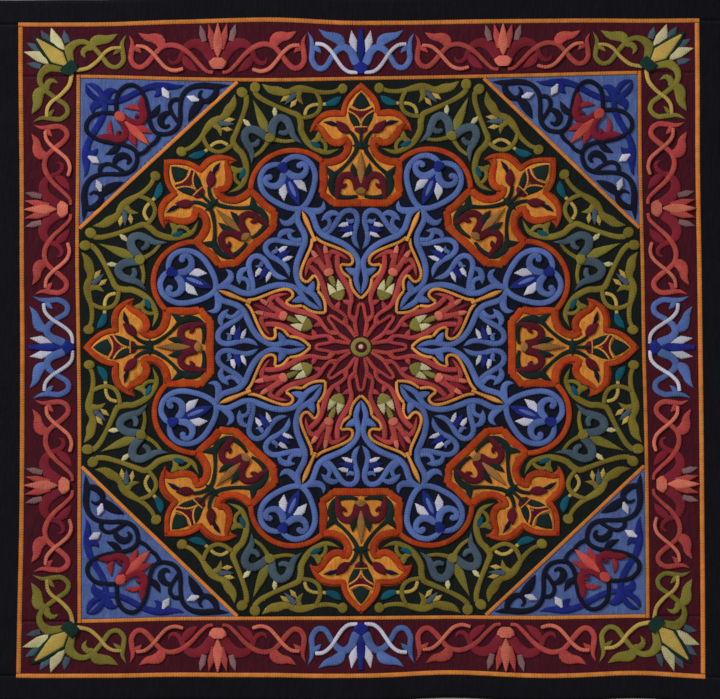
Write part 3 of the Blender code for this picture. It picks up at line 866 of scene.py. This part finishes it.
def rings_of(strip, fullness):
    """For each ring of a strip: its place, the direction across, its width, how far along it is."""
    trail, lengths = walked(strip.route)
    total = lengths[-1]
    widths = [width * fullness * MILLIMETRE for width in strip.widths]
    caps = [strip.ends * min(width, total) for width in (widths[0], widths[-1])]
    width_at = straight_at if strip.kite else curve_at
    corners = len(widths) - 1 if strip.kite else 1
    rings, leg = [], 0
    for distance in stops(total, *caps, corners):
        while leg < len(trail) - 2 and lengths[leg + 1] < distance:
            leg += 1
        heading = trail[leg + 1] - trail[leg]
        place = trail[leg] + heading * ((distance - lengths[leg]) / heading.length)
        width = max(width_at(widths, distance / total * (len(widths) - 1)), 0.0)
        for cap, from_end in zip(caps, (distance, total - distance)):
            if cap and from_end < cap:
                width *= math.sqrt(max(1 - ((cap - from_end) / cap) ** 2, 0.0))
        across = Vector((heading.y, -heading.x)).normalized()
        rings.append((place, across, width, distance))
    return rings


def strip_mesh(strip, fullness, rise, material_index):
    """One hemmed strip or leaf, flat on the pattern: a sheet wrapped round into a closed band."""
    rings = rings_of(strip, fullness)
    around, along = len(SECTION), len(rings) - 1
    fold = FOLD_HEIGHT + LAYER_HEIGHT * strip.layer + rise
    mesh = bmesh.new()
    bmesh.ops.create_grid(mesh, x_segments=around, y_segments=along, size=1.0)
    seam = mesh.loops.layers.uv.new(STRIP_MAP)
    for face in mesh.faces:
        for loop in face.loops:
            column = round((loop.vert.co.x + 1) / 2 * around) % around
            _, _, width, distance = rings[round((loop.vert.co.y + 1) / 2 * along)]
            loop[seam].uv = (distance, (1 - abs(SECTION[column][0])) * width / 2)
    for vert in mesh.verts:
        column = round((vert.co.x + 1) / 2 * around) % around
        place, across, width, _ = rings[round((vert.co.y + 1) / 2 * along)]
        offset, fold_share, swell_share = SECTION[column]
        spot = place + across * (offset * width / 2)
        swelling = min(SWELL_SHARE * width, MOST_SWELL)
        height = fold * fold_share * min(width / TAPER, 1.0) + swelling * swell_share
        vert.co = (spot.x, spot.y, height)
    bmesh.ops.remove_doubles(mesh, verts=mesh.verts, dist=MERGE_DISTANCE)
    for face in mesh.faces:
        face.material_index = material_index
    data = bpy.data.meshes.new(strip.name)
    mesh.to_mesh(data)
    mesh.free()
    data.attributes.new(TONE, "FLOAT", "POINT")
    return data


def turned(degrees):
    """A turn clockwise round the middle of the quilt."""
    return Matrix.Rotation(math.radians(-degrees), 4, "Z")


# A mirrored copy is a little higher than the strips that it crosses, so that no two of their
# faces lie in one plane
MIRROR_LIFT = 1.04
UNCHANGED = Matrix.Identity(4)
MIRRORED = Matrix.Diagonal((-1.0, 1.0, MIRROR_LIFT, 1.0))
SWAPPED = Matrix(((0, 1, 0, 0), (1, 0, 0, 0), (0, 0, MIRROR_LIFT, 0), (0, 0, 0, 1)))
QUARTER_TURNS = [turned(90 * k) for k in range(4)]
SECTOR_ANGLE = 360 / SECTORS
CARTOUCHE_AXIS, LOBE_AXIS = 0.0, SECTOR_ANGLE / 2


def flips_of(strip):
    """A strip on the axis lies there once, and any other one is mirrored on the axis as well."""
    on_axis = all(across == 0 for across, _ in strip.route)
    return (UNCHANGED,) if on_axis else (UNCHANGED, MIRRORED)


def once(degrees):
    """Placing for a strip that lies in one place, at a turn round the middle of the quilt."""
    def placing(_):
        return [turned(degrees)]
    return placing


def eightfold(first_axis):
    """Placing for strips that are mirrored on their axis and repeated eight times."""
    def placing(strip):
        turns = [turned(first_axis + SECTOR_ANGLE * k) for k in range(SECTORS)]
        return [turn @ flip for turn in turns for flip in flips_of(strip)]
    return placing


def along_sides(mirror_at=None):
    """Placing for a band's strips: on all four sides, mirrored on the middle of the side and,
    for a knot that repeats, on the place mirror_at along it."""
    out_to_band = Matrix.Translation((0.0, BAND_MIDDLE, 0.0))

    def placing(strip):
        copies = [out_to_band]
        if mirror_at is not None and any(along != mirror_at for along, _ in strip.route):
            aside = Matrix.Translation((2 * mirror_at * MILLIMETRE, 0.0, 0.0))
            copies.append(out_to_band @ aside @ MIRRORED)
        return [turn @ flip @ copy for turn in QUARTER_TURNS for flip in flips_of(strip) for copy in copies]
    return placing


def in_corners(start):
    """Placing for strips mirrored on the diagonal of each corner. start is the place that their
    routes are measured from, towards the middle, or None where they are measured from it."""
    frame_turn = UNCHANGED
    if start:
        frame_turn = Matrix.Translation((start, start, 0.0)) @ Matrix.Rotation(math.pi, 4, "Z")

    def placing(strip):
        diagonal = all(a == b for a, b in strip.route)
        flips = (UNCHANGED,) if diagonal else (UNCHANGED, SWAPPED)
        return [turn @ flip @ frame_turn for turn in QUARTER_TURNS for flip in flips]
    return placing


def finished(name, mesh, materials):
    """A piece from a bmesh, smooth, with its materials, riding on the part's one body."""
    data = bpy.data.meshes.new(name)
    mesh.to_mesh(data)
    mesh.free()
    data.shade_smooth()
    for material in materials:
        data.materials.append(material)
    piece = bpy.data.objects.new(name, data)
    bpy.context.scene.collection.objects.link(piece)
    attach(piece, "root")
    return piece


def make_applique(name, ground, parts, fullness=1.0, rise=0.0):
    """One piece of the scene: the strips of some tables, each table with its placing. fullness is
    how much wider they are than charted, and rise is how much higher their folds are."""
    dyes = sorted({strip.dye for strips, _ in parts for strip in strips})
    whole = bmesh.new()
    for strips, placing in parts:
        for strip in strips:
            flat = strip_mesh(strip, fullness, rise, dyes.index(strip.dye))
            chance = random.Random(f"{name} {strip.name}")
            for matrix in placing(strip):
                mirrored = matrix.determinant() < 0
                flat.transform(matrix)
                if mirrored:
                    flat.flip_normals()
                tone = chance.random()
                flat.attributes[TONE].data.foreach_set("value", [tone] * len(flat.vertices))
                whole.from_mesh(flat)
                if mirrored:
                    flat.flip_normals()
                flat.transform(matrix.inverted())
            bpy.data.meshes.remove(flat)
    for vert in whole.verts:
        vert.co = laid(vert.co.x, vert.co.y, vert.co.z + ground)
    return finished(name, whole, [cotton(dye, hemmed=True) for dye in dyes])


def thickened(mesh, top, bottom):
    """Lays a flat cut on the cloth and gives it its thickness, swollen on its upper face."""
    raised = bmesh.ops.extrude_face_region(mesh, geom=mesh.faces[:])["geom"]
    upper = {part for part in raised if isinstance(part, bmesh.types.BMVert)}
    for vert in mesh.verts:
        is_upper = vert in upper
        vert.co = laid(vert.co.x, vert.co.y, top if is_upper else bottom, swollen=is_upper)
    bmesh.ops.recalc_face_normals(mesh, faces=mesh.faces)


def sliced(mesh, place, outwards, cut_off=False):
    """Cuts a mesh along a plane, and with cut_off takes away what lies outwards of it."""
    everything = mesh.verts[:] + mesh.edges[:] + mesh.faces[:]
    bmesh.ops.bisect_plane(mesh, geom=everything, dist=MERGE_DISTANCE, plane_co=place,
                           plane_no=outwards, clear_outer=cut_off)


def make_panel(name, dye, x_span, y_span, corner_cuts=()):
    """A panel of the quilt's ground, from a fine grid whose corners may be cut off."""
    size = (x_span[1] - x_span[0], y_span[1] - y_span[0])
    middle = ((x_span[0] + x_span[1]) / 2, (y_span[0] + y_span[1]) / 2, 0.0)
    columns, rows = (round(length / CELL) for length in size)
    mesh = bmesh.new()
    bmesh.ops.create_grid(mesh, x_segments=columns, y_segments=rows, size=0.5)
    bmesh.ops.transform(mesh, matrix=Matrix.Diagonal((*size, 1.0, 1.0)), verts=mesh.verts)
    bmesh.ops.translate(mesh, vec=middle, verts=mesh.verts)
    for place, outwards in corner_cuts:
        sliced(mesh, place, outwards, cut_off=True)
    thickened(mesh, FIELD_TOP, 0.0)
    piece = finished(name, mesh, [cotton(dye, hemmed=False)])
    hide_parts(name.removesuffix("_cloth"))
    return piece


def smooth_edge(rows):
    """The places of half a sector along a table of outline points."""
    places = []
    points = [Vector(row[:2]) * MILLIMETRE for row in rows]
    for index in range(len(points) - 1):
        start, end = points[index], points[index + 1]
        before = points[index - 1] if index and not rows[index][2] else 2 * start - end
        last = index + 2 == len(points) or rows[index + 1][2]
        after = 2 * end - start if last else points[index + 2]
        for step in range(STEPS_PER_CURVE):
            place = curve_through(before, start, end, after, step / STEPS_PER_CURVE)
            places.append((place.x, place.y))
    return places + [tuple(points[-1])]


def arc_places(centre, radius, first, last, steps):
    """Places along an arc from the angle first to the angle last."""
    turns = [first + (last - first) * k / steps for k in range(steps + 1)]
    return [(centre[0] + radius * math.cos(t), centre[1] + radius * math.sin(t)) for t in turns]


def lobe_arc(start, radius):
    """The round end of a lobe, from the place start to the axis of the lobe."""
    half_sector = math.pi / SECTORS
    centre = Vector((math.sin(half_sector), math.cos(half_sector))) * LOBE_DISTANCE
    first = math.atan2(start[1] - centre.y, start[0] - centre.x)
    return arc_places(centre, radius, first, math.pi / 2 - half_sector, LOBE_STEPS)[1:]


def turned_places(places, index):
    """The same places, a number of sectors on."""
    turn = -2 * math.pi * index / SECTORS
    cos, sin = math.cos(turn), math.sin(turn)
    return [(x * cos - y * sin, x * sin + y * cos) for x, y in places]


def whole_rosette(half_sector_edge):
    """The closed outline of eight sectors, each mirrored on its own axis."""
    mirrored = [(-x, y) for x, y in reversed(half_sector_edge[1:])]
    sector = mirrored[1:] + half_sector_edge
    places = []
    for index in range(SECTORS):
        places += turned_places(sector, index)
    return places


def make_cut(name, dye, outlines, top, bottom):
    """A piece of thin cloth cut along one or more closed outlines."""
    mesh = bmesh.new()
    for outline in outlines:
        mesh.faces.new([mesh.verts.new((x, y, 0.0)) for x, y in outline])
    reach = max(max(abs(x), abs(y)) for outline in outlines for x, y in outline)
    count = math.floor(reach / CUT_CELL)
    for normal in (Vector((1.0, 0.0, 0.0)), Vector((0.0, 1.0, 0.0))):
        for step in range(-count, count + 1):
            sliced(mesh, normal * step * CUT_CELL, normal)
    thickened(mesh, top, bottom)
    return finished(name, mesh, [cotton(dye, hemmed=False)])


def make_lengths(prefix, dye, near, far):
    """Four lengths of cloth round the quilt: top and bottom reach from side to side, left and
    right fit between them."""
    full, between = (-far, far), (-near, near)
    spans = {
        "top": (full, (near, far)),
        "bottom": (full, (-far, -near)),
        "left": ((-far, -near), between),
        "right": ((near, far), between),
    }
    for side, (x_span, y_span) in spans.items():
        piece = make_panel(f"{prefix}_{side}_cloth", dye, x_span, y_span)


def make_grounds():
    """The cloths that the pattern is sewn on, in the sizes of the part's own pieces."""
    make_lengths("border", "black", OUTER_SEAM + GAP / 2, QUILT_HALF + EDGE_SPREAD)
    make_lengths("band", "burgundy", INNER_SEAM + GAP / 2, OUTER_SEAM - GAP / 2)

    side = INNER_SEAM - GAP / 2
    slant = Vector((1.0, 1.0, 0.0)).normalized()
    outwards = [Matrix.Rotation(math.radians(90 * k), 4, "Z") @ slant for k in range(4)]
    cuts = [(direction * (DIAGONAL_SEAM - GAP / 2), direction) for direction in outwards]
    field = make_panel("field_cloth", "green_black", (-side, side), (-side, side), cuts)

    start = DIAGONAL_SEAM * math.sqrt(2) - side
    low, high = (-side, -start), (start, side)
    spans = {
        "top_right": (high, high),
        "top_left": (low, high),
        "bottom_left": (low, low),
        "bottom_right": (high, low),
    }
    for direction, (name, (x_span, y_span)) in zip(outwards, spans.items()):
        cut = [(direction * (DIAGONAL_SEAM + GAP / 2), -direction)]
        name = f"corner_panel_{name}_cloth"
        panel = make_panel(name, "corner_blue", x_span, y_span, cut)


def make_seam_strip(name, seam, width, reach, degrees):
    """A hemmed strip over one seam, at a turn round the middle of the quilt."""
    route = tuple((along / MILLIMETRE, seam / MILLIMETRE) for along in (-reach, 0, reach))
    strip = Strip(name, "orange", 0, (width / MILLIMETRE,) * 2, route, SEAM_STRIP_ENDS)
    piece = make_applique(f"{name}_cloth", FIELD_TOP, [([strip], once(degrees))])
    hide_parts(name)


def make_seam_strips(prefix, seam, width, upright_reach, level_reach):
    """Four hemmed strips over the seams round a ground."""
    for turn, side in enumerate(("top", "right", "bottom", "left")):
        reach = level_reach if side in ("top", "bottom") else upright_reach
        make_seam_strip(f"{prefix}_{side}", seam, width, reach, 90 * turn)


def make_strips():
    """The orange strips over the seams."""
    outer, inner = OUTER_STRIP_WIDTH / 2, INNER_STRIP_WIDTH / 2
    make_seam_strips("outer_strip", OUTER_SEAM, OUTER_STRIP_WIDTH,
                     OUTER_SEAM - outer - GAP, OUTER_SEAM + outer)
    edge = INNER_SEAM - inner - GAP
    make_seam_strips("inner_strip", INNER_SEAM, INNER_STRIP_WIDTH, INNER_SEAM + inner, edge)
    reach = (edge - DIAGONAL_SEAM * math.sqrt(2) / 2) * math.sqrt(2)
    for turn, corner in enumerate(("top_right", "bottom_right", "bottom_left", "top_left")):
        name = f"corner_strip_{corner}"
        make_seam_strip(name, DIAGONAL_SEAM, INNER_STRIP_WIDTH, reach, 45 + 90 * turn)


def make_medallion_grounds():
    """The flame-red medallion, the navy ground and the eight gold cartouches sewn on it, and the
    wine star on those."""
    edge = smooth_edge(MEDALLION_EDGE)
    outline = whole_rosette(edge + lobe_arc(edge[-1], MEDALLION_LOBE))
    medallion = make_cut("medallion_cloth", "flame", [outline],
                         MEDALLION_TOP, MEDALLION_UNDERSIDE)
    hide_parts("medallion")
    edge = smooth_edge(NAVY_EDGE)
    outline = whole_rosette(edge + lobe_arc(edge[-1], NAVY_LOBE))
    navy = make_cut("navy_ground", "navy_ground", [outline], NAVY_TOP, MEDALLION_TOP)
    half = smooth_edge(CARTOUCHE_EDGE)
    whole = half + [(-x, y) for x, y in reversed(half[1:-1])]
    outlines = [turned_places(whole, index) for index in range(SECTORS)]
    gold = make_cut("cartouche_grounds", "gold_ground", outlines, NAVY_TOP, MEDALLION_TOP)
    outline = whole_rosette(smooth_edge(STAR_EDGE))
    star = make_cut("star_cloth", "star_wine", [outline], STAR_TOP, NAVY_TOP)
    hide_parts("centre_star")
    return medallion, navy, gold, star


def lobe_outline():
    """The strip along one half of a lobe's round outline, in the lobe frame."""
    first, last = (math.radians(angle) for angle in LOBE_OUTLINE_REACH)
    centre = (0.0, LOBE_DISTANCE / MILLIMETRE)
    route = tuple(arc_places(centre, LOBE_OUTLINE_RADIUS, first, last, LOBE_OUTLINE_STEPS))
    return Strip("lobe_outline", "flame", 0, (LOBE_OUTLINE_WIDTH, LOBE_OUTLINE_WIDTH), route)


def star_piping():
    """The gold piping along the star's edge, a strip from each sharp corner to the next."""
    strips = []
    for first, last in zip(PIPING_CORNERS, PIPING_CORNERS[1:]):
        route = tuple(row[:2] for row in STAR_EDGE[first:last + 1])
        strips.append(Strip(f"piping_{first}", "gold", 3, (PIPING_WIDTH, PIPING_WIDTH), route, 0.5))
    return strips


make_grounds()
make_strips()
medallion, navy, gold, star = make_medallion_grounds()

on_cartouches = eightfold(CARTOUCHE_AXIS)
on_lobes = eightfold(LOBE_AXIS)

# The pattern: each piece with the height that it lies on and its charts
band_pieces = [
    make_applique("band_blue_knots", FIELD_TOP, [(BLUE_KNOT, along_sides())]),
    make_applique("band_rose_knots", FIELD_TOP, [(ROSE_KNOT, along_sides(ROSE_LOTUS_AT))]),
    make_applique("band_green_knots", FIELD_TOP, [(GREEN_KNOT, along_sides())]),
    make_applique("band_corner_lotus", FIELD_TOP, [(CORNER_LOTUS, in_corners(None))]),
]
corner_pieces = [
    make_applique("corner_scrolls", FIELD_TOP,
                  [(SPANDREL, in_corners(SPANDREL_START))], fullness=1.1),
]
field_pieces = [
    make_applique("field_vines", FIELD_TOP,
                  [(FIELD_VINES + VINE_KNOBS, on_cartouches)], fullness=1.17),
    make_applique("field_fans", FIELD_TOP, [(FIELD_FANS, on_lobes)]),
]
medallion_pieces = [
    make_applique("medallion_outline", FIELD_TOP,
                  [(OUTLINE, on_cartouches), ([lobe_outline()], on_lobes)], rise=0.0012),
    make_applique("cartouche_flowers", NAVY_TOP, [(CARTOUCHE_FLOWERS, on_cartouches)]),
    make_applique("valley_straps", NAVY_TOP, [(VALLEY_STRAPS, on_cartouches)], fullness=1.32),
    make_applique("lobe_hearts", NAVY_TOP, [(LOBE_HEARTS, on_lobes)], fullness=1.24),
]
star_pieces = [
    make_applique("star_straps", STAR_TOP, [(STAR_ARMS, on_lobes), (STAR_RAYS, on_cartouches)]),
    make_applique("star_piping", NAVY_TOP, [(star_piping(), on_cartouches)]),
    make_applique("centre_ring", STAR_TOP, [(CENTRE_RING, once(0))]),
]

# The floor, a hair under the quilt so that the two don't share a plane
FLOOR_HALF = 40.0
FLOOR_HEIGHT = -0.0005
FLOOR_COLOUR = (0.62, 0.61, 0.59, 1.0)
FLOOR_ROUGHNESS = 0.9

# The even light of the room
ROOM_COLOUR = (0.97, 0.97, 1.0, 1.0)
ROOM_STRENGTH = 0.22

# The photograph shows 1.774 m of the quilt across, from far off and a little below square on
VIEW_WIDTH = 1.7738
VIEW_ELEVATION = 74.0
VIEW_MIDDLE = (-0.0025, -0.0051)
SENSOR = 36.0
LENS = 1600.0
FARTHEST_SEEN = 400.0


def make_floor():
    """A wide pale floor, which isn't part of the quilt."""
    mesh = bmesh.new()
    bmesh.ops.create_grid(mesh, x_segments=1, y_segments=1, size=FLOOR_HALF)
    data = bpy.data.meshes.new("floor")
    mesh.to_mesh(data)
    mesh.free()
    paint = bpy.data.materials.new("pale_floor")
    paint.use_nodes = True
    shader = paint.node_tree.nodes["Principled BSDF"]
    shader.inputs["Base Color"].default_value = FLOOR_COLOUR
    shader.inputs["Roughness"].default_value = FLOOR_ROUGHNESS
    data.materials.append(paint)
    floor = bpy.data.objects.new("floor", data)
    floor.location.z = FLOOR_HEIGHT
    bpy.context.scene.collection.objects.link(floor)


def put(thing, place, direction):
    """Puts a light or a camera in its place, pointing in a direction."""
    thing.location = place
    thing.rotation_euler = direction.to_track_quat("-Z", "Y").to_euler()
    bpy.context.scene.collection.objects.link(thing)


def add_light(name, place, size, power, tint):
    """A round soft light that points at the middle of the quilt."""
    data = bpy.data.lights.new(name, "AREA")
    data.shape = "DISK"
    data.size = size
    data.energy = power
    data.color = tint
    put(bpy.data.objects.new(name, data), place, -Vector(place))


def light_room():
    """The same light from all sides, as in a pale room."""
    world = bpy.data.worlds.new("soft_room")
    world.use_nodes = True
    background = world.node_tree.nodes["Background"]
    background.inputs["Color"].default_value = ROOM_COLOUR
    background.inputs["Strength"].default_value = ROOM_STRENGTH
    bpy.context.scene.world = world
    bpy.context.scene.view_settings.view_transform = "Standard"


def add_camera():
    """The camera at the photograph's angle, as far off as its long lens needs."""
    data = bpy.data.cameras.new("camera")
    data.sensor_width = SENSOR
    data.lens = LENS
    data.clip_end = FARTHEST_SEEN
    camera = bpy.data.objects.new("camera", data)
    elevation = math.radians(VIEW_ELEVATION)
    back = Vector((0.0, -math.cos(elevation), math.sin(elevation)))
    target = Vector((VIEW_MIDDLE[0] - CENTRE_X, VIEW_MIDDLE[1] - CENTRE_Y, FIELD_TOP))
    put(camera, target + back * (VIEW_WIDTH * LENS / SENSOR), -back)
    bpy.context.scene.camera = camera


make_floor()
add_light("window", place=(-5.6, 4.8, 4.4), size=2.8, power=600.0, tint=(0.97, 0.98, 1.0))
add_light("room", place=(2.4, -2.6, 3.4), size=3.2, power=44.0, tint=(1.0, 0.96, 0.9))
light_room()
add_camera()
